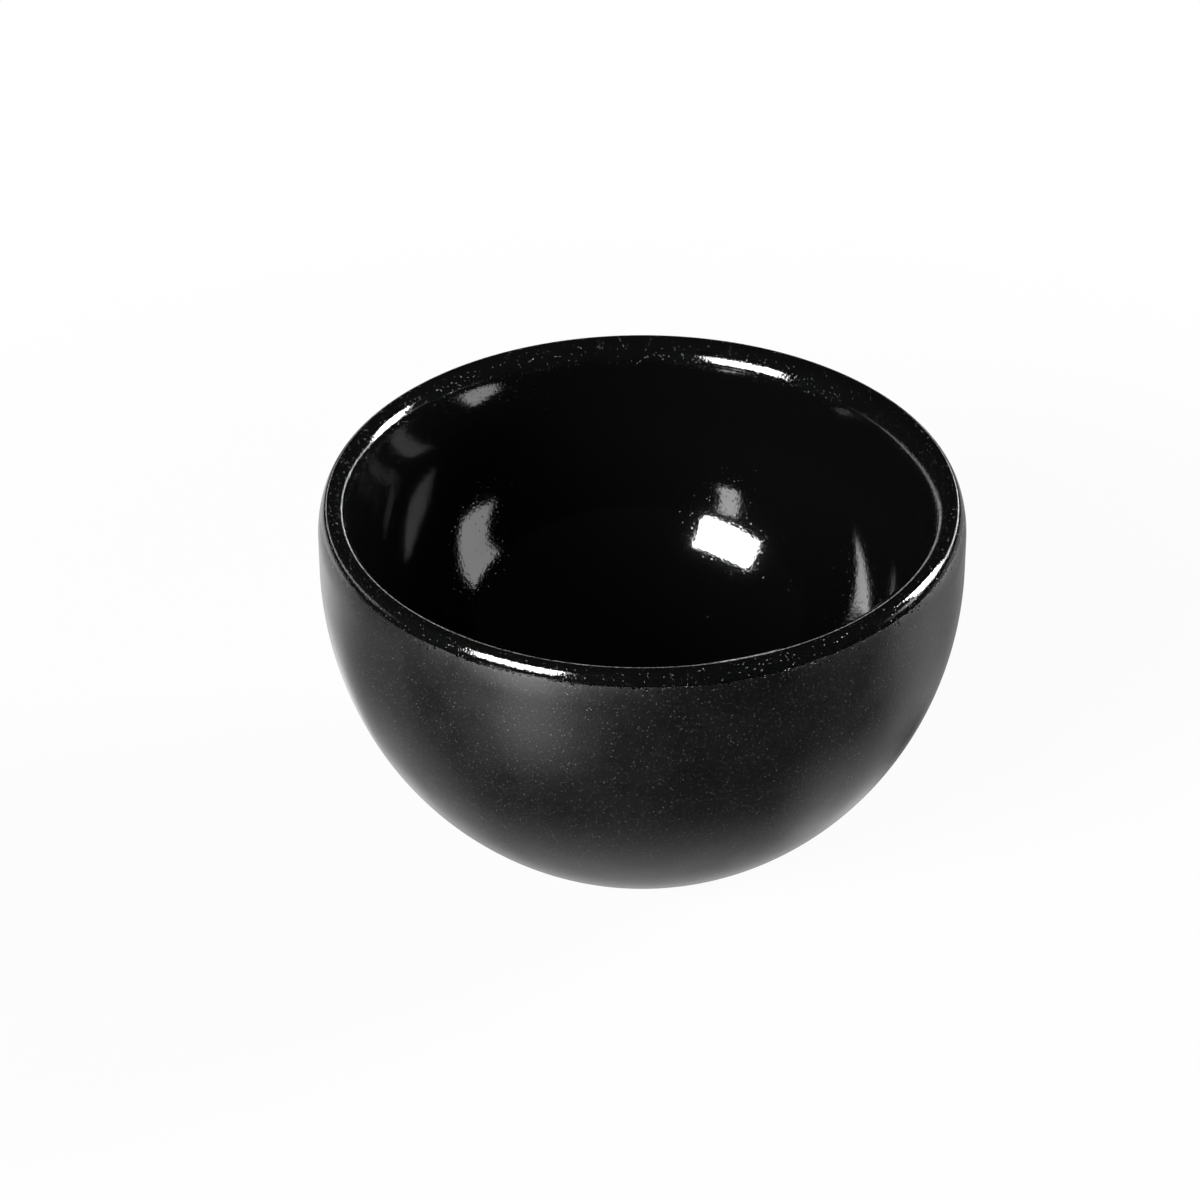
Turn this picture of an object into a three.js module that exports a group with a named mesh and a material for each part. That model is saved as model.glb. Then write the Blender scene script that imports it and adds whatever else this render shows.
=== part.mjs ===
// A coffee cupping bowl: a turned stoneware body under fired coats of glaze.
// Millimetres, +Z up. The origin is the centre of the face that the foot stands on.
// Every piece is turned about the Z axis, so each outline is drawn as (radius, height).
import * as THREE from "three";

// Bowl, measured over the finished glaze
const outerDiameter = 96; // over the satin glaze at the belly's widest line
const height = 56.8; // table to the top of the lip
const wall = 4.6; // across the mouth's edge, both coats included
const straightWall = 10.8; // upright wall, from the belly's widest line to the top of the lip
const lipInnerRound = 2.6; // on the mouth's inner edge
const lipOuterDrop = 5.5; // below the top of the lip, where the outside starts to lean in

// Cavity, measured over the gloss glaze
const mouthFlare = 0.6; // how much the upright wall opens out towards the mouth, all round
const cavityFullness = 2.1; // 2 is a plain ellipse, more is fuller in the corner
const floorThickness = 6.2; // from the hollow in the foot up to the floor, coat included

// Foot
const footDiameter = 40; // across the standing ring
const footHeight = 1.6; // from the table to the underside of the belly
const footWidth = 3.2; // of the standing ring
const footRound = 0.5; // on the ring's two lower edges
const heelOverhang = 2.3; // how far the belly's lower edge stands out from the ring
const recessDepth = 1.2; // of the hollow inside the ring

// Glaze coats
const glossCoat = 0.5; // lines the inside and runs over the lip
const satinCoat = 0.4; // covers the outside and the hollow in the foot
const glossRun = 1.9; // how far the gloss runs down the outside, from the top of the lip
const bareHeel = 0.7; // clay left bare between the satin coat and the underside of the belly

// Fineness of the turned faces
const sides = 48;
const bellySteps = 11;
const cavitySteps = 12;
const lipSteps = 3;
const edgeSteps = 2;

// Radii and levels that follow from the sizes above
const outerRadius = outerDiameter / 2;
const mouthRadius = outerRadius - wall;
const clayRadius = outerRadius - satinCoat;
const bellyTop = height - straightWall;
const lipInner = Math.min(lipInnerRound, 0.6 * wall); // a thin wall limits the round
const lipReach = wall - lipInner; // how far the outside leans in
const lipDrop = Math.min(lipOuterDrop, 0.9 * straightWall);
const lipBase = height - lipDrop;
const crestRadius = outerRadius - lipReach;
const glossLine = height - Math.min(glossRun, 0.9 * lipDrop);
const cavityRadius = mouthRadius - mouthFlare;
const footRadius = footDiameter / 2;
const recessRadius = footRadius - footWidth;
const heelRadius = footRadius + heelOverhang;
const satinEnd = footHeight + bareHeel;
const cavityFloor = recessDepth + floorThickness;

// The belly is part of an ellipse, widest where the upright wall starts and cut off at the heel.
const bellyDepth = (bellyTop - footHeight) / Math.sqrt(1 - (heelRadius / clayRadius) ** 2);

const quarterTurn = Math.PI / 2;

const point = (radius, level) => new THREE.Vector2(radius, level);

// Points along an arc of an ellipse; angles are in radians, from the outward direction.
function arc(radius, level, halfWidth, halfHeight, start, end, steps) {
  const clockwise = end < start;
  const curve = new THREE.EllipseCurve(radius, level, halfWidth, halfHeight, start, end, clockwise);
  return curve.getPoints(steps);
}

// The outside of the belly from one level up to another, with a coat of this thickness on the clay.
function belly(coat, from, to, steps) {
  const halfHeight = bellyDepth + coat;
  const angleAt = (level) => Math.asin((level - bellyTop) / halfHeight);
  return arc(0, bellyTop, clayRadius + coat, halfHeight, angleAt(from), angleAt(to), steps);
}

// The outside of the lip from one level up to another, with a coat of this thickness on the clay.
function lipOutside(coat, from, to) {
  const halfWidth = lipReach - satinCoat + coat;
  const halfHeight = lipDrop - glossCoat + coat;
  const angleAt = (level) => Math.asin(Math.min(1, (level - lipBase) / halfHeight));
  return arc(crestRadius, lipBase, halfWidth, halfHeight, angleAt(from), angleAt(to), lipSteps);
}

// The inside from the top of the lip to the middle of the floor, this far under the gloss.
function inside(under) {
  const round = lipInner - under;
  const halfWidth = cavityRadius + under;
  const halfHeight = bellyTop - cavityFloor + under;
  const fuller = (share) => Math.max(0, share) ** (2 / cavityFullness);
  const bowed = arc(0, 0, 1, 1, 0, quarterTurn, cavitySteps).map((at) =>
    point(halfWidth * fuller(at.x), bellyTop - halfHeight * fuller(at.y)),
  );
  bowed[cavitySteps].x = 0;
  return [
    ...arc(crestRadius, height - lipInner, round, round, quarterTurn, 2 * quarterTurn, lipSteps).slice(1),
    ...bowed,
  ];
}

// A solid turned from an outline that closes on itself, or that starts and ends on the axis.
function turned(name, outline, material) {
  const geometry = new THREE.LatheGeometry(outline, sides).rotateX(quarterTurn);
  const mesh = new THREE.Mesh(geometry, material);
  mesh.name = name;
  return mesh;
}

const bareClay = new THREE.MeshStandardMaterial({ color: 0xb3a48f, roughness: 0.9, metalness: 0 });
const glossBlack = new THREE.MeshStandardMaterial({ color: 0x0a0a0a, roughness: 0.06, metalness: 0 });
const satinBlack = new THREE.MeshStandardMaterial({ color: 0x1d1d1e, roughness: 0.45, metalness: 0 });

// The satin coat's two faces, and the clay under it: belly, upright wall and the start of the lip.
function outside(coat) {
  return [
    ...belly(coat, satinEnd, bellyTop, bellySteps),
    ...lipOutside(coat, lipBase, glossLine),
  ];
}

// Fired clay: the standing ring, belly, lip and cavity in one piece.
function clayBody() {
  const round = (radius, start) =>
    arc(radius, footRound, footRound, footRound, start, start + quarterTurn, edgeSteps);
  const outline = [
    point(0, recessDepth),
    point(recessRadius, recessDepth),
    ...round(recessRadius + footRound, 2 * quarterTurn),
    ...round(footRadius - footRound, 3 * quarterTurn),
    point(footRadius, footHeight),
    point(heelRadius, footHeight),
    ...outside(0),
    ...lipOutside(0, glossLine, height).slice(1),
    ...inside(glossCoat),
  ];
  return turned("clay_body", outline, bareClay);
}

// Gloss glaze: lines the cavity, rounds the lip and ends on the outside at the gloss line.
function insideGlaze() {
  const face = [...lipOutside(glossCoat, glossLine, height), ...inside(0)];
  const back = [...lipOutside(0, glossLine, height), ...inside(glossCoat)].reverse();
  return turned("inside_gloss_glaze", [...face, ...back, face[0]], glossBlack);
}

// Satin glaze: covers the outside from the gloss line down to the bare heel.
function outsideGlaze() {
  const face = outside(satinCoat);
  const back = outside(0).reverse();
  return turned("outside_satin_glaze", [...face, ...back, face[0]], satinBlack);
}

// Satin glaze in the hollow of the foot; the standing ring round it is left bare.
function recessGlaze() {
  const outline = [
    point(0, recessDepth - satinCoat),
    point(recessRadius, recessDepth - satinCoat),
    point(recessRadius, recessDepth),
    point(0, recessDepth),
  ];
  return turned("foot_recess_glaze", outline, satinBlack);
}

const bowl = new THREE.Group();
bowl.add(clayBody(), insideGlaze(), outsideGlaze(), recessGlaze());

export default bowl;
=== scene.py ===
import math

import bpy
import bmesh
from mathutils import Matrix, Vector, noise


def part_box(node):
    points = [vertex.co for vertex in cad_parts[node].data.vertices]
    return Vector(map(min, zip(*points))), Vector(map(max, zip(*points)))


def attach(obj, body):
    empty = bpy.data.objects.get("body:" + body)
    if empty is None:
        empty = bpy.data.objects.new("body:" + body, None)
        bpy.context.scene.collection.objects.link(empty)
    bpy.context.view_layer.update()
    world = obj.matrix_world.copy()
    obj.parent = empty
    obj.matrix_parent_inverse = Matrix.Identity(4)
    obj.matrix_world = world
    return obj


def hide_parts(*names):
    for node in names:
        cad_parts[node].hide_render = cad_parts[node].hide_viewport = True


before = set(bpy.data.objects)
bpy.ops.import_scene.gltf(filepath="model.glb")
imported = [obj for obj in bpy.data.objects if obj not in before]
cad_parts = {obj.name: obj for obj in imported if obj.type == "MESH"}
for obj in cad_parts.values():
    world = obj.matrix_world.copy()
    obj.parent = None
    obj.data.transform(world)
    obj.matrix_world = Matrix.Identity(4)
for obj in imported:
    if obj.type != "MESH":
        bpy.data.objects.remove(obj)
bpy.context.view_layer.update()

glossLow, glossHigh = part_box("inside_gloss_glaze")
satinLow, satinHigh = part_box("outside_satin_glaze")
recessLow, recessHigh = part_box("foot_recess_glaze")

# Section of the bowl over the finished glaze, in metres
bowl = {
    "radius": satinHigh.x,
    "height": glossHigh.z,
    "wall": 0.0046,
    "bellyTop": 0.046,  # below this level the belly is part of an ellipse
    "lipRound": 0.0026,  # tight round from the crest inwards
    "lipEase": 0.0043,  # wider round that takes the lip down into the wall
    "lipInner": 0.0034,  # about how far the inner rounds reach down
    "lipDrop": 0.0055,  # how far the outer round reaches down
    "flare": 0.00092,  # how much the mouth opens above the belly
    "fullness": 2.1,  # 2 makes the cavity a plain ellipse, more makes it boxier
    "heel": 0.0223,
    "heelLevel": 0.0016,
    "glossCoat": 0.0005,
    "satinCoat": 0.0004,
    "glossLine": 0.0549,  # mean level of the edge of the gloss on the outside
    "offCentre": -0.0005,  # the cavity of this one was turned a little to one side
    "wallMiddle": 0.0445,  # depth of an ellipse that runs in the middle of the wall
}
cavityFloor = glossLow.z + bowl["glossCoat"]
mouthRadius = bowl["radius"] - bowl["wall"]
crestRadius = mouthRadius + bowl["lipRound"]
lipReach = bowl["radius"] - crestRadius
lipBase = bowl["height"] - bowl["lipDrop"]
lipFoot = bowl["height"] - bowl["lipInner"]
clayRadius = bowl["radius"] - bowl["satinCoat"]
bellyDepth = (bowl["bellyTop"] - bowl["heelLevel"]) / math.sqrt(1 - (bowl["heel"] / clayRadius) ** 2)
quarter = math.pi / 2
millimetres = 1000  # in a metre


def mix(a, b, share):
    return a + (b - a) * share


def smooth(value, low, high):
    share = min(max((value - low) / (high - low), 0), 1)
    return share * share * (3 - 2 * share)


# Points along an arc of an ellipse, as (radius, level)
def arc(centre, reach, start, end, steps):
    turns = [mix(start, end, k / steps) for k in range(steps + 1)]
    return [(centre[0] + reach[0] * math.cos(t), centre[1] + reach[1] * math.sin(t)) for t in turns]


# Outside of the belly from one level up to another, with a coat on the clay
def bellyPath(coat, low, high, steps):
    reach = (clayRadius + coat, bellyDepth + coat)
    start = math.asin((low - bowl["bellyTop"]) / reach[1])
    end = math.asin((high - bowl["bellyTop"]) / reach[1])
    return arc((0, bowl["bellyTop"]), reach, start, end, steps)


# Outside of the lip from one level up to another, with a coat on the clay
def lipPath(coat, low, high, steps):
    reach = (lipReach - bowl["satinCoat"] + coat, bowl["lipDrop"] - bowl["glossCoat"] + coat)
    start = math.asin(min(1, (low - lipBase) / reach[1]))
    end = math.asin(min(1, (high - lipBase) / reach[1]))
    return arc((crestRadius, lipBase), reach, start, end, steps)


# Radius of the outside of the lip at a level
def lipRadius(level):
    rise = min(max((level - lipBase) / bowl["lipDrop"], 0), 1)
    return crestRadius + lipReach * math.sqrt(1 - rise * rise)


# Inside from the middle of the floor up to the crest of the lip, this far under the gloss
def cavityPath(under, bowlSteps, wallSteps, lipSteps):
    power = 2 / bowl["fullness"]
    across = mouthRadius - bowl["flare"] + under
    depth = bowl["bellyTop"] - cavityFloor + under
    path = []
    for k in range(bowlSteps + 1):
        turn = quarter * (1 - k / bowlSteps)
        radius = across * max(math.cos(turn), 0) ** power if k else 0
        path.append((radius, bowl["bellyTop"] - depth * math.sin(turn) ** power))
    # Two rounds make the lip, a tight one at the crest and an easy one below it, which meet at 45 degrees
    crest = (crestRadius, bowl["height"] - bowl["lipRound"])
    slant = (bowl["lipEase"] - bowl["lipRound"]) * math.sqrt(0.5)
    eased = (crest[0] + slant, crest[1] - slant)
    tight, easy = bowl["lipRound"] - under, bowl["lipEase"] - under
    # The wall opens more and more towards the mouth, and the easy round takes over at the same slope
    lean = 0.0
    settleRounds = 12
    for again in range(settleRounds):
        start = (eased[0] - easy * math.cos(lean), eased[1] + easy * math.sin(lean))
        lean = math.atan(2 * (start[0] - across) / (start[1] - bowl["bellyTop"]))
    lip = arc(eased, (easy, easy), 2 * quarter - lean, 1.5 * quarter, lipSteps)
    lip += arc(crest, (tight, tight), 1.5 * quarter, quarter, lipSteps)[1:]
    for k in range(1, wallSteps + 1):
        share = k / wallSteps
        level = mix(bowl["bellyTop"], lip[0][1], share)
        path.append((mix(across, lip[0][0], share * share), level))
    return path + lip[1:]


# A solid spun from an outline of (radius, level) points
def spun(outline, sides):
    mesh = bmesh.new()
    dots = [mesh.verts.new((radius, 0, level)) for radius, level in outline]
    edges = [mesh.edges.new(pair) for pair in zip(dots, dots[1:])]
    # One twelfth of a turn first, then its copies, which is much quicker than one long spin
    parts = 12
    around = {"cent": (0, 0, 0), "axis": (0, 0, 1)}
    bmesh.ops.spin(mesh, geom=dots + edges, angle=math.tau / parts, steps=sides // parts, **around)
    slice = mesh.verts[:] + mesh.edges[:] + mesh.faces[:]
    bmesh.ops.spin(mesh, geom=slice, angle=math.tau * (parts - 1) / parts, steps=parts - 1,
                   use_duplicate=True, **around)
    mergeReach = 1e-6
    bmesh.ops.remove_doubles(mesh, verts=mesh.verts[:], dist=mergeReach)
    bmesh.ops.recalc_face_normals(mesh, faces=mesh.faces[:])
    return mesh


def finishPiece(mesh, name, node, material):
    data = bpy.data.meshes.new(name)
    for face in mesh.faces:
        face.smooth = True
    mesh.to_mesh(data)
    mesh.free()
    piece = bpy.data.objects.new(name, data)
    bpy.context.scene.collection.objects.link(piece)
    data.materials.append(material)
    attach(piece, "root")
    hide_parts(node)
    print(name, len(data.polygons), "faces")
    return piece


# Noise that closes on itself round the bowl: about this many waves in one turn
def ringNoise(turn, waves, seed):
    reach = waves / math.tau
    return noise.noise(Vector((reach * math.cos(turn), reach * math.sin(turn), seed)))


# Moves the cavity to one side, less and less over the inner round of the lip
def offCentre(vert):
    radius = math.hypot(vert.co.x, vert.co.y)
    below = max(bowl["bellyTop"] - vert.co.z, 0) / bowl["wallMiddle"]
    if below < 1 and radius < crestRadius * math.sqrt(1 - below * below):
        share = 1 - smooth(vert.co.z, lipFoot, bowl["height"])
        vert.co.x += bowl["offCentre"] * share


# Node helpers
def setInputs(tree, node, values):
    for name, value in values.items():
        if isinstance(value, bpy.types.NodeSocket):
            tree.links.new(value, node.inputs[name])
        else:
            node.inputs[name].default_value = value


def addNode(tree, kind, settings=None, inputs=None):
    made = tree.nodes.new(kind)
    for name, value in (settings or {}).items():
        setattr(made, name, value)
    setInputs(tree, made, inputs or {})
    return made


def maths(tree, operation, a, b=0.0):
    return addNode(tree, "ShaderNodeMath", {"operation": operation}, {0: a, 1: b}).outputs[0]


def vectorMaths(tree, operation, inputs):
    return addNode(tree, "ShaderNodeVectorMath", {"operation": operation}, inputs).outputs


def ramp(tree, value, low, high, toLow=0.0, toHigh=1.0):
    settings = {"interpolation_type": "SMOOTHSTEP"}
    inputs = {"Value": value, "From Min": low, "From Max": high, "To Min": toLow, "To Max": toHigh}
    return addNode(tree, "ShaderNodeMapRange", settings, inputs).outputs[0]


def blendColour(tree, share, a, b):
    return addNode(tree, "ShaderNodeMix", {"data_type": "RGBA"}, {0: share, 6: a, 7: b}).outputs[2]


def blendValue(tree, share, a, b):
    return addNode(tree, "ShaderNodeMix", {"data_type": "FLOAT"}, {0: share, 2: a, 3: b}).outputs[0]


def cloudNoise(tree, place, scale, detail):
    inputs = {"Vector": place, "Scale": scale, "Detail": detail}
    return addNode(tree, "ShaderNodeTexNoise", None, inputs).outputs[0]


# Turned coordinates, so that the rows of a dot pattern don't line up with the bowl
def turnedPlace(tree, place, turn):
    return addNode(tree, "ShaderNodeMapping", None, {"Vector": place, "Rotation": turn}).outputs[0]


def bumped(tree, height, distance, normal=None):
    inputs = {"Height": height, "Distance": distance, "Strength": 1.0}
    if normal is not None:
        inputs["Normal"] = normal
    return addNode(tree, "ShaderNodeBump", None, inputs).outputs[0]


# A node group with a Vector, some numbers and one number out
def newGroup(name, numbers, result):
    tree = bpy.data.node_groups.new(name, "ShaderNodeTree")
    tree.interface.new_socket("Vector", in_out="INPUT", socket_type="NodeSocketVector")
    for label, value in numbers.items():
        socket = tree.interface.new_socket(label, in_out="INPUT", socket_type="NodeSocketFloat")
        socket.default_value = value
    tree.interface.new_socket(result, in_out="OUTPUT", socket_type="NodeSocketFloat")
    return tree, tree.nodes.new("NodeGroupInput").outputs, tree.nodes.new("NodeGroupOutput").inputs[result]


speck = {"smallest": 0.4, "core": 0.5, "faintest": 0.2}  # least size, solid part and least strength of a dot


# Specks: a scatter of dots of uneven size and strength
def speckGroup():
    tree, given, put = newGroup("specks", {"Scale": 1000.0, "Size": 0.3, "Share": 0.5}, "Mask")
    cells = addNode(tree, "ShaderNodeTexVoronoi", None, {"Vector": given["Vector"], "Scale": given["Scale"]})
    chance = addNode(tree, "ShaderNodeSeparateColor", None, {0: cells.outputs["Color"]}).outputs
    size = maths(tree, "MULTIPLY", given["Size"], maths(tree, "ADD", chance[1], speck["smallest"]))
    dot = ramp(tree, cells.outputs["Distance"], maths(tree, "MULTIPLY", size, speck["core"]), size, 1.0, 0.0)
    kept = maths(tree, "LESS_THAN", chance[0], given["Share"])
    varied = maths(tree, "MULTIPLY", chance[2], 1 - speck["faintest"])
    strength = maths(tree, "ADD", varied, speck["faintest"])
    tree.links.new(maths(tree, "MULTIPLY", maths(tree, "MULTIPLY", dot, kept), strength), put)
    return tree


# Orange peel: the height of the small waves that a melted glaze keeps
def peelGroup():
    tree, given, put = newGroup("orange peel", {"Scale": 2000.0}, "Height")
    inputs = {"Vector": given["Vector"], "Scale": given["Scale"], "Detail": 2.0, "Roughness": 0.45}
    tree.links.new(addNode(tree, "ShaderNodeTexNoise", None, inputs).outputs[0], put)
    return tree


specks = speckGroup()
peel = peelGroup()


def speckMask(tree, place, values):
    inputs = {"Vector": place, **values}
    return addNode(tree, "ShaderNodeGroup", {"node_tree": specks}, inputs).outputs["Mask"]


def peelHeight(tree, place, scale):
    inputs = {"Vector": place, "Scale": scale}
    return addNode(tree, "ShaderNodeGroup", {"node_tree": peel}, inputs).outputs["Height"]


def newMaterial(name):
    material = bpy.data.materials.new(name)
    material.use_nodes = True
    tree = material.node_tree
    tree.nodes.clear()
    shader = addNode(tree, "ShaderNodeBsdfPrincipled")
    addNode(tree, "ShaderNodeOutputMaterial", None, {"Surface": shader.outputs[0]})
    place = addNode(tree, "ShaderNodeTexCoord").outputs["Object"]
    return material, tree, shader, place


glazeIor = 1.68

gloss = {
    "sides": 480,
    "faceSteps": (56, 8, 8),  # steps of the floor, wall and lip
    "backSteps": (28, 3, 4),
    "lipSteps": 20,
    "lipBackSteps": 6,
    "bed": 0.0001,  # how far its hidden face stands off the clay
    "tuck": 0.0005,  # how far its thin edge dips under the satin
    "crestHold": 0.0002,  # this close to the crest the edge waves don't reach
    # Waves of the edge: about how many in a turn, where in the noise, and how high
    "edgeWaves": [(17, 3.1, 0.000312), (41, 8.4, 0.00024), (130, 5.7, 0.000084), (260, 1.9, 0.0000588)],
    "colour": (0.003, 0.003, 0.0032, 1),
    "thin": (0.0037, 0.0033, 0.0032, 1),  # where the coat is thin over the crest
    "thinReach": 0.0012,
    "thinScale": 260.0,
    "thinPatches": (0.4, 0.7),
    "roughness": 0.056,
    "pinRoughness": 0.136,
    "lipBlend": (-0.001, 0.0015),  # levels about the foot of the lip where its own texture comes in
    "turn": (0.5, 0.8, 0.3),
    # Heights in metres, with the pattern that each goes with
    "peel": 0.000007,
    "peelScale": 1800.0,
    "dimple": 0.0000048,
    "dimples": {"Scale": 1800.0, "Size": 0.42, "Share": 0.35},
    "lipPeel": 0.00002,
    "lipPeelScale": 3000.0,
    "pin": 0.00006,
    "pins": {"Scale": 2200.0, "Size": 0.26, "Share": 0.6},
}


def glossMaterial():
    material, tree, shader, place = newMaterial("gloss_glaze")
    level = addNode(tree, "ShaderNodeSeparateXYZ", None, {0: place}).outputs[2]
    onLip = ramp(tree, level, lipFoot + gloss["lipBlend"][0], lipFoot + gloss["lipBlend"][1])
    turned = turnedPlace(tree, place, gloss["turn"])
    waves = peelHeight(tree, place, gloss["peelScale"])
    flat = maths(tree, "SUBTRACT", 1.0, speckMask(tree, turned, gloss["dimples"]))
    grain = maths(tree, "MULTIPLY", peelHeight(tree, place, gloss["lipPeelScale"]), onLip)
    pins = maths(tree, "MULTIPLY", speckMask(tree, turned, gloss["pins"]), onLip)
    normal = bumped(tree, waves, gloss["peel"])
    normal = bumped(tree, flat, gloss["dimple"], normal)
    normal = bumped(tree, grain, gloss["lipPeel"], normal)
    normal = bumped(tree, pins, gloss["pin"], normal)
    patches = ramp(tree, cloudNoise(tree, place, gloss["thinScale"], 3.0), *gloss["thinPatches"])
    crest = ramp(tree, level, bowl["height"] - gloss["thinReach"], bowl["height"])
    colour = blendColour(tree, maths(tree, "MULTIPLY", crest, patches), gloss["colour"], gloss["thin"])
    rough = blendValue(tree, pins, gloss["roughness"], gloss["pinRoughness"])
    setInputs(tree, shader, {"Base Color": colour, "Roughness": rough, "Normal": normal, "IOR": glazeIor})
    return material


# How far the gloss runs above or below its mean line
def glossWave(turn):
    return sum(height * ringNoise(turn, waves, seed) for waves, seed, height in gloss["edgeWaves"])


# Gloss glaze: lines the cavity, rounds the lip and thins out to a ragged edge on the outside
def makeGloss(look):
    coat = bowl["glossCoat"]
    line = bowl["glossLine"]
    end = line - gloss["tuck"]
    steps = gloss["lipSteps"]
    thick = lipPath(coat, end, bowl["height"], steps)[::-1]
    flush = lipPath(bowl["satinCoat"], end, bowl["height"], steps)[::-1]
    over = []
    for k in range(1, steps + 1):
        # It gets thinner all the way, and is flush with the satin at its line
        share = (bowl["height"] - thick[k][1]) / (bowl["height"] - line)
        over.append((mix(thick[k][0], flush[k][0], share), mix(thick[k][1], flush[k][1], share)))
    back = lipPath(gloss["bed"], end, bowl["height"], gloss["lipBackSteps"])
    under = cavityPath(coat - gloss["bed"], *gloss["backSteps"])[::-1][1:]
    mesh = spun(cavityPath(0, *gloss["faceSteps"]) + over + back + under, gloss["sides"])
    for vert in mesh.verts:
        turn = math.atan2(vert.co.y, vert.co.x)
        radius = math.hypot(vert.co.x, vert.co.y)
        if radius > crestRadius and vert.co.z > lipBase:
            share = 1 - smooth(vert.co.z, line, bowl["height"] - gloss["crestHold"])
            level = vert.co.z + glossWave(turn) * share
            slide = 1 + (lipRadius(level) - lipRadius(vert.co.z)) / radius  # keeps it on the slope of the lip
            vert.co = (vert.co.x * slide, vert.co.y * slide, level)
        offCentre(vert)
    return finishPiece(mesh, "insideGlossGlaze", "inside_gloss_glaze", look)


satin = {
    "sides": 384,
    "bellySteps": 64,
    "lipSteps": 12,
    "bellyBackSteps": 24,
    "lipBackSteps": 4,
    "bed": 0.00005,  # how far its hidden face stands off the clay
    "underGloss": 0.0008,  # how far it runs up under the gloss
    "heelEase": 0.0002,  # its lower edge thins out over this height
    "heelBand": 0.0005,  # this much of it follows the waves of the lower edge
    "heelWave": (60, 4.4, 0.0001, 0.00005),  # how many in a turn, where in the noise, how high, and a lift
    "deepest": -6,  # millimetres under the gloss line, the least that its attribute holds
    "colour": (0.002, 0.002, 0.0022, 1),
    "pale": (0.0037, 0.0037, 0.0035, 1),
    "cloudScale": 140.0,
    "palePatches": (0.35, 0.7),
    "roughness": 0.355,
    "uneven": 0.035,  # how far the roughness strays in patches
    "roughPatches": (0.3, 0.75),
    "grazing": 0.2,  # roughness when it is seen edge on
    "edgeOn": (0.7, 0.92),
    "grain": 0.00002,
    "grainScale": 2500.0,
    "turn": (0.6, 0.9, 0.4),
    # Painted glints: pale specks in the colour that stand in for light glinting off mica flakes
    "paintedGlint": (0.5, 0.493, 0.48, 1),
    "fine": {"Scale": 3400.0, "Size": 0.34, "Share": 0.5},
    "fineShare": 0.12,
    "coarse": {"Scale": 2700.0, "Size": 0.17, "Share": 0.5},
    "coarseShare": 0.8,
    # Gloss that ran past its edge: a ragged fringe and drops below it, in millimetres from the line
    "ragged": 2.0,
    "raggedScale": 1900.0,
    "fringe": (-0.03, 0.03),
    "drops": {"Scale": 1900.0, "Size": 0.42, "Share": 0.4},
    "dropReach": (-1.6, -0.5),
    "dropPatches": (0.5, 0.56),
    "wetEdge": (0.1, 0.3),
}


def satinMaterial():
    material, tree, shader, place = newMaterial("satin_glaze")
    cloud = cloudNoise(tree, place, satin["cloudScale"], 5.0)
    colour = blendColour(tree, ramp(tree, cloud, *satin["palePatches"]), satin["colour"], satin["pale"])
    turned = turnedPlace(tree, place, satin["turn"])
    # The fine and coarse specks lift the colour towards the painted glint colour, painting glints into the
    # satin
    fine = maths(tree, "MULTIPLY", speckMask(tree, turned, satin["fine"]), satin["fineShare"])
    coarse = maths(tree, "MULTIPLY", speckMask(tree, turned, satin["coarse"]), satin["coarseShare"])
    colour = blendColour(tree, maths(tree, "MAXIMUM", fine, coarse), colour, satin["paintedGlint"])
    overrun = addNode(tree, "ShaderNodeAttribute", {"attribute_name": "overrun"}).outputs["Fac"]
    ragged = maths(tree, "SUBTRACT", cloudNoise(tree, place, satin["raggedScale"], 3.0), 0.5)
    fringe = maths(tree, "ADD", overrun, maths(tree, "MULTIPLY", ragged, satin["ragged"]))
    dropZone = maths(tree, "MULTIPLY", ramp(tree, overrun, *satin["dropReach"]),
                     ramp(tree, cloud, *satin["dropPatches"]))
    drops = maths(tree, "MULTIPLY", speckMask(tree, place, satin["drops"]), dropZone)
    wet = ramp(tree, maths(tree, "MAXIMUM", ramp(tree, fringe, *satin["fringe"]), drops), *satin["wetEdge"])
    colour = blendColour(tree, wet, colour, gloss["colour"])
    dry = maths(tree, "SUBTRACT", 1.0, wet)
    grain = maths(tree, "MULTIPLY", peelHeight(tree, place, satin["grainScale"]), dry)
    normal = bumped(tree, grain, satin["grain"])
    smoothest, roughest = satin["roughness"] - satin["uneven"], satin["roughness"] + satin["uneven"]
    rough = ramp(tree, cloud, *satin["roughPatches"], smoothest, roughest)
    # A satin face shines more when it is seen edge on
    edgeOn = addNode(tree, "ShaderNodeLayerWeight", None, {"Blend": 0.5}).outputs["Facing"]
    rough = blendValue(tree, ramp(tree, edgeOn, *satin["edgeOn"]), rough, satin["grazing"])
    rough = blendValue(tree, wet, rough, gloss["roughness"])
    setInputs(tree, shader, {"Base Color": colour, "Roughness": rough, "Normal": normal, "IOR": glazeIor})
    return material


# Satin glaze on the outside, running up under the gloss and down to the bare heel
def makeSatin(look):
    low = satinLow.z
    top = bowl["glossLine"] + satin["underGloss"]
    face = bellyPath(bowl["satinCoat"], low + satin["heelEase"], bowl["bellyTop"], satin["bellySteps"])
    face += lipPath(bowl["satinCoat"], lipBase, top, satin["lipSteps"])
    back = lipPath(satin["bed"], lipBase, top, satin["lipBackSteps"])[::-1]
    back += bellyPath(satin["bed"], low, bowl["bellyTop"], satin["bellyBackSteps"])[::-1]
    mesh = spun(face + back + face[:1], satin["sides"])
    overrun = mesh.verts.layers.float.new("overrun")  # millimetres above the gloss line
    waves, seed, height, lift = satin["heelWave"]
    for vert in mesh.verts:
        turn = math.atan2(vert.co.y, vert.co.x)
        above = vert.co.z - bowl["glossLine"] - glossWave(turn)
        vert[overrun] = max(above * millimetres, satin["deepest"])
        if vert.co.z < low + satin["heelBand"]:
            vert.co.z += height * ringNoise(turn, waves, seed) + lift
    return finishPiece(mesh, "outsideSatinGlaze", "outside_satin_glaze", look)


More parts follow.
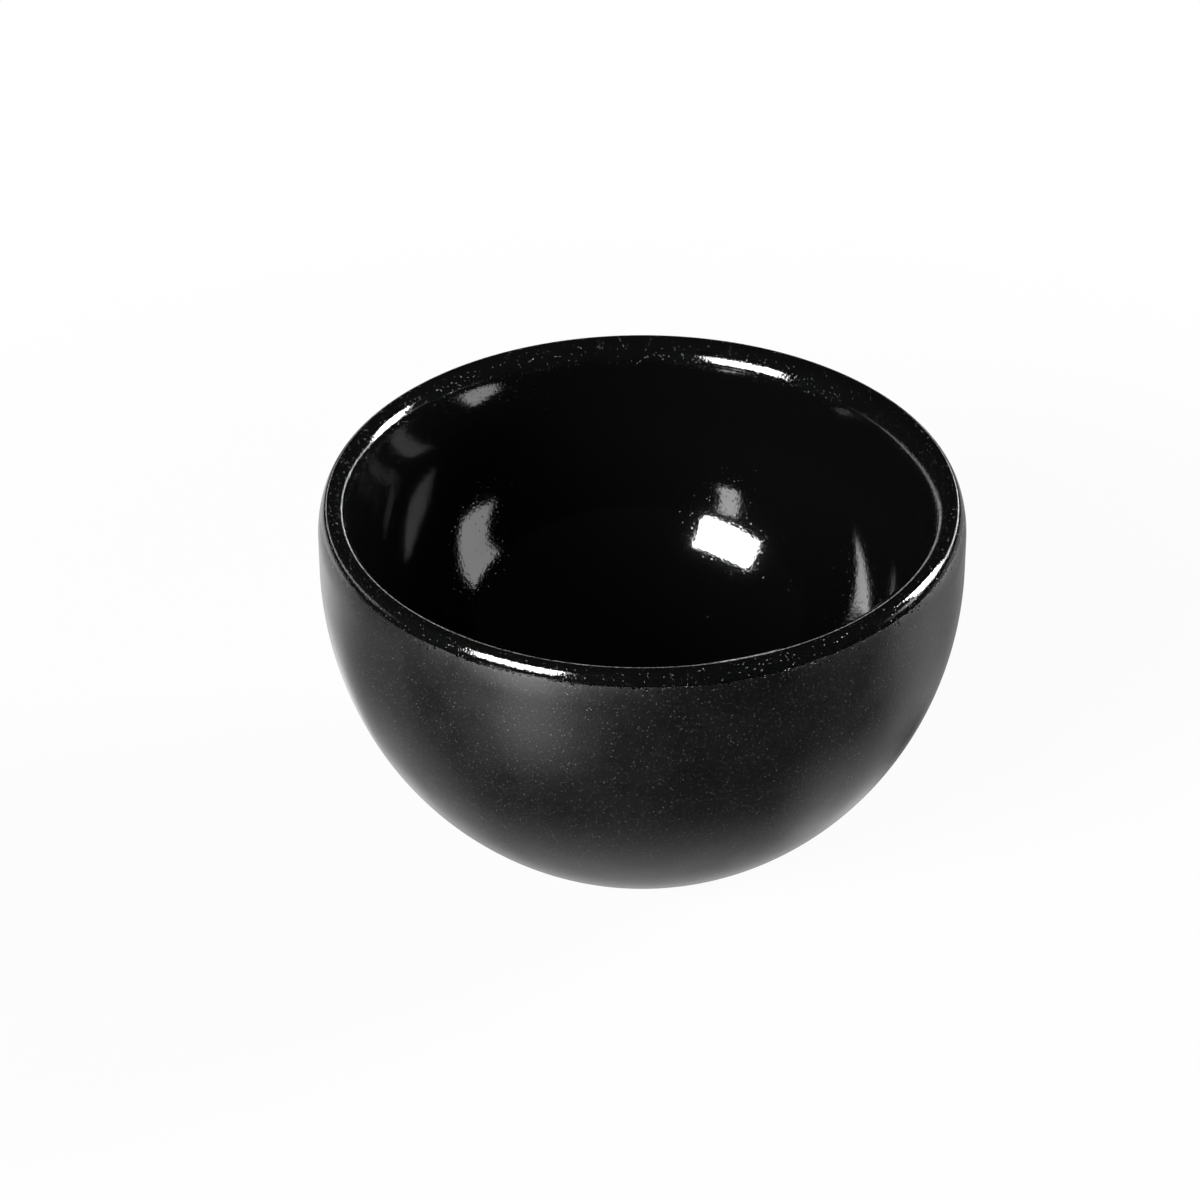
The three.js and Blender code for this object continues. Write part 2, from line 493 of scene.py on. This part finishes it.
recess = {
    "sides": 160,
    "gap": 0.0001,  # clear of the ring
    "rim": 0.6,  # share of the coat's thickness where its rounded edge begins
    "round": (0.0003, 0.0002),
    "roundSteps": 4,
}


# Satin glaze in the hollow of the foot
def makeRecess(look):
    low, high = recessLow.z, recessHigh.z
    reach = recessHigh.x - recess["gap"]
    across, up = recess["round"]
    outline = [(0, high), (reach, high), (reach, mix(low, high, recess["rim"]))]
    outline += arc((reach - across, low + up), recess["round"], 0, -quarter, recess["roundSteps"])
    outline.append((0, low))
    mesh = spun(outline, recess["sides"])
    return finishPiece(mesh, "footRecessGlaze", "foot_recess_glaze", look)


clay = {
    "sides": 256,
    "footRadius": 0.02,
    "footWidth": 0.0032,
    "footRound": 0.0005,
    "footSteps": 5,
    "recess": 0.0012,
    "heelRound": 0.0004,
    "heelSteps": 3,
    "bellySteps": 30,
    "lipSteps": 10,
    "cavitySteps": (32, 3, 4),
    "colour": (0.46, 0.37, 0.28, 1),
    "dark": (0.33, 0.25, 0.18, 1),
    "darkScale": 320.0,
    "darkPatches": (0.35, 0.7),
    "iron": (0.09, 0.055, 0.035, 1),
    "ironSpecks": {"Scale": 1100.0, "Size": 0.28, "Share": 0.3},
    "roughness": 0.88,
    "specular": 0.3,
    "grain": 0.00003,
    "grainScale": 2600.0,
}


def clayMaterial():
    material, tree, shader, place = newMaterial("bare_clay")
    patches = ramp(tree, cloudNoise(tree, place, clay["darkScale"], 6.0), *clay["darkPatches"])
    colour = blendColour(tree, patches, clay["colour"], clay["dark"])
    colour = blendColour(tree, speckMask(tree, place, clay["ironSpecks"]), colour, clay["iron"])
    normal = bumped(tree, peelHeight(tree, place, clay["grainScale"]), clay["grain"])
    setInputs(tree, shader, {"Base Color": colour, "Roughness": clay["roughness"], "Normal": normal,
                             "Specular IOR Level": clay["specular"]})
    return material


# Fired clay under the coats, with the bare standing ring and heel
def makeClay(look):
    edge, heel = clay["footRound"], clay["heelRound"]
    inner, outer = clay["footRadius"] - clay["footWidth"], clay["footRadius"]
    outline = [(0, clay["recess"]), (inner, clay["recess"])]
    outline += arc((inner + edge, edge), (edge, edge), 2 * quarter, 3 * quarter, clay["footSteps"])
    outline += arc((outer - edge, edge), (edge, edge), 3 * quarter, 4 * quarter, clay["footSteps"])
    hollow = (outer + heel, bowl["heelLevel"] - heel)
    outline += arc(hollow, (heel, heel), 2 * quarter, quarter, clay["heelSteps"])
    outline += bellyPath(0, bowl["heelLevel"], bowl["bellyTop"], clay["bellySteps"])
    outline += lipPath(0, lipBase, bowl["height"], clay["lipSteps"])
    outline += cavityPath(bowl["glossCoat"], *clay["cavitySteps"])[::-1][1:]
    mesh = spun(outline, clay["sides"])
    for vert in mesh.verts:
        offCentre(vert)
    return finishPiece(mesh, "clayBody", "clay_body", look)


glossLook = glossMaterial()
satinLook = satinMaterial()
clayLook = clayMaterial()
print("materials made")

makeClay(clayLook)
makeGloss(glossLook)
makeSatin(satinLook)
makeRecess(satinLook)

# Studio: lamps are given by the direction that they stand in, seen from the bowl, and by their half angles
studio = {
    "aim": Vector((0, 0, 0.046)),
    "reach": 1.0,
    "matteShare": 0.6,  # of a lamp's mirrored brightness, at which a matte colour renders about as written
    "lamps": {
        "keyLamp": {"azimuth": -42.8, "elevation": 24.0, "halfWidth": 13.4, "halfHeight": 11.3,
                    "radiance": 40.0},
        "sideLamp": {"azimuth": 110.0, "elevation": 15.0, "halfWidth": 7.0, "halfHeight": 10.8,
                     "radiance": 80.0},
    },
    "dark": 0.012,
    # A low white backdrop behind the bowl, brighter to the right
    "backdrop": 2.2,
    "backdropRise": (0.04, 0.11),
    "backdropBehind": (-0.1, 0.4),
    "backdropRight": (0.2, 0.6),
    "backdropGain": 3.0,
}


# Each lamp is two in one place: what the gloss mirrors of it, and the light that it puts on matte colour
def addLamp(name, lamp, share, mirrored):
    turn, rise = math.radians(lamp["azimuth"]), math.radians(lamp["elevation"])
    towards = Vector((math.cos(rise) * math.sin(turn), -math.cos(rise) * math.cos(turn), math.sin(rise)))
    light = bpy.data.lights.new(name, "AREA")
    light.shape = "RECTANGLE"
    light.size = 2 * studio["reach"] * math.tan(math.radians(lamp["halfWidth"]))
    light.size_y = 2 * studio["reach"] * math.tan(math.radians(lamp["halfHeight"]))
    light.energy = share * lamp["radiance"] * math.pi * light.size * light.size_y
    holder = bpy.data.objects.new(name, light)
    holder.location = studio["aim"] + studio["reach"] * towards
    holder.rotation_euler = (-towards).to_track_quat("-Z", "Y").to_euler()
    holder.visible_glossy = mirrored
    holder.visible_diffuse = not mirrored
    bpy.context.scene.collection.objects.link(holder)


for name, lamp in studio["lamps"].items():
    addLamp(name, lamp, 1.0, True)
    addLamp(name + "Matte", lamp, studio["matteShare"], False)

floor = {
    "reach": 3.0,
    "sides": 96,
    "gap": 0.00002,  # keeps it clear of the standing ring
    "colour": (0.82, 0.82, 0.82, 1),
    "white": 0.94,  # share of plain white that the camera sees, the rest shows the shadow
    "whiteFade": (0.1, 0.22),  # between these distances it becomes all white
    "footCover": (0.0185, 0.0195),  # under the foot, inside these radii, it glows for views from below
    # What glossy rays see of it: an even glow, more of it close to the foot, and pools of light
    "evenGlow": 0.05,
    "evenFade": (0.15, 0.26),
    "farGlow": 0.003,
    "footGlow": 0.56,
    "footFade": (0.028, 0.06),
    "pools": [
        {"azimuth": -31, "full": 3, "end": 13, "begin": (0.068, 0.12), "fade": (0.8, 1.4), "glow": 1.45},
        {"azimuth": -38, "full": 6, "end": 14, "begin": (0.13, 0.2), "fade": (0.8, 1.4), "glow": 1.8},
        {"azimuth": 92, "full": 4, "end": 18, "begin": (0.05, 0.075), "fade": (0.15, 0.26), "glow": 0.5},
        {"azimuth": 65, "full": 8, "end": 27, "begin": (0.03, 0.04), "fade": (0.055, 0.085), "glow": 0.41},
        {"azimuth": -88, "full": 20, "end": 45, "begin": (0.03, 0.04), "fade": (0.055, 0.085), "glow": 0.34},
        {"azimuth": -99, "full": 18, "end": 36, "begin": (0.03, 0.05), "fade": (0.2, 0.31), "glow": 0.22},
        {"azimuth": 130, "full": 14, "end": 32, "begin": (0.03, 0.05), "fade": (0.2, 0.31), "glow": 0.3},
        {"azimuth": -127, "full": 8, "end": 30, "begin": (0.03, 0.05), "fade": (0.2, 0.31), "glow": 0.85},
    ],
}


# Brightness of the floor in reflections, by distance and heading from the foot
def mirroredGlow(tree, place, away):
    heading = vectorMaths(tree, "NORMALIZE", {0: place})[0]
    glow = ramp(tree, away, *floor["evenFade"], floor["evenGlow"], floor["farGlow"])
    glow = maths(tree, "ADD", glow, ramp(tree, away, *floor["footFade"], floor["footGlow"], 0.0))
    for pool in floor["pools"]:
        turn = math.radians(pool["azimuth"])
        facing = vectorMaths(tree, "DOT_PRODUCT", {0: heading, 1: (math.sin(turn), -math.cos(turn), 0)})[1]
        near, far = math.cos(math.radians(pool["full"])), math.cos(math.radians(pool["end"]))
        begun = ramp(tree, away, *pool["begin"])
        lit = maths(tree, "MULTIPLY", begun, ramp(tree, away, *pool["fade"], 1.0, 0.0))
        lit = maths(tree, "MULTIPLY", lit, ramp(tree, facing, far, near, 0.0, pool["glow"]))
        glow = maths(tree, "ADD", glow, lit)
    return glow


def floorMaterial():
    material = bpy.data.materials.new("paleFloor")
    material.use_nodes = True
    tree = material.node_tree
    tree.nodes.clear()
    place = addNode(tree, "ShaderNodeTexCoord").outputs["Object"]
    away = vectorMaths(tree, "LENGTH", {0: place})[1]
    path = addNode(tree, "ShaderNodeLightPath").outputs
    mirror = path["Is Glossy Ray"]
    strength = blendValue(tree, mirror, 1.0, mirroredGlow(tree, place, away))
    glow = addNode(tree, "ShaderNodeEmission", None, {"Strength": strength})
    matte = addNode(tree, "ShaderNodeBsdfDiffuse", None, {"Color": floor["colour"]})
    seen = maths(tree, "MAXIMUM", path["Is Camera Ray"], path["Is Transmission Ray"])
    white = ramp(tree, away, *floor["whiteFade"], floor["white"], 1.0)
    share = maths(tree, "MAXIMUM", maths(tree, "MULTIPLY", seen, white), mirror)
    share = maths(tree, "MAXIMUM", share, ramp(tree, away, *floor["footCover"], 1.0, 0.0))
    both = addNode(tree, "ShaderNodeMixShader", None, {0: share, 1: matte.outputs[0], 2: glow.outputs[0]})
    # From below the floor is clear, so that the foot can be looked at
    clear = addNode(tree, "ShaderNodeBsdfTransparent")
    below = addNode(tree, "ShaderNodeNewGeometry").outputs["Backfacing"]
    sided = addNode(tree, "ShaderNodeMixShader", None, {0: below, 1: both.outputs[0], 2: clear.outputs[0]})
    addNode(tree, "ShaderNodeOutputMaterial", None, {"Surface": sided.outputs[0]})
    return material


def addFloor():
    mesh = bmesh.new()
    bmesh.ops.create_circle(mesh, cap_ends=True, segments=floor["sides"], radius=floor["reach"])
    bmesh.ops.translate(mesh, verts=mesh.verts[:], vec=(0, 0, -floor["gap"]))
    data = bpy.data.meshes.new("floor")
    mesh.to_mesh(data)
    mesh.free()
    data.materials.append(floorMaterial())
    disc = bpy.data.objects.new("floor", data)
    bpy.context.scene.collection.objects.link(disc)


# A dark room with the backdrop, all white to the camera
def addRoom():
    world = bpy.data.worlds.new("room")
    bpy.context.scene.world = world
    world.use_nodes = True
    tree = world.node_tree
    tree.nodes.clear()
    place = addNode(tree, "ShaderNodeTexCoord").outputs["Generated"]
    way = addNode(tree, "ShaderNodeSeparateXYZ", None, {0: place}).outputs
    low = ramp(tree, way[2], *studio["backdropRise"], studio["backdrop"], 0.0)
    backdrop = maths(tree, "MULTIPLY", low, ramp(tree, way[1], *studio["backdropBehind"]))
    gain = ramp(tree, way[0], *studio["backdropRight"], 1.0, studio["backdropGain"])
    backdrop = maths(tree, "MAXIMUM", maths(tree, "MULTIPLY", backdrop, gain), studio["dark"])
    seen = addNode(tree, "ShaderNodeLightPath").outputs["Is Camera Ray"]
    strength = maths(tree, "MAXIMUM", backdrop, seen)
    back = addNode(tree, "ShaderNodeBackground", None, {"Color": (1, 1, 1, 1), "Strength": strength})
    addNode(tree, "ShaderNodeOutputWorld", None, {"Surface": back.outputs[0]})


addFloor()
addRoom()
print("studio made")

# Camera at the photograph's viewing angle
view = {"elevation": 33.11, "distance": 0.672, "lens": 135.3, "sensor": 36, "shift": (-0.0352, -0.0379)}
camera = bpy.data.cameras.new("camera")
camera.lens = view["lens"]
camera.sensor_width = view["sensor"]
camera.shift_x, camera.shift_y = view["shift"]
holder = bpy.data.objects.new("camera", camera)
rise = math.radians(view["elevation"])
holder.location = studio["aim"] + view["distance"] * Vector((0, -math.cos(rise), math.sin(rise)))
holder.rotation_euler = (quarter - rise, 0, 0)
bpy.context.scene.collection.objects.link(holder)
bpy.context.scene.camera = holder
bpy.context.scene.view_settings.view_transform = "Standard"
print("scene made")
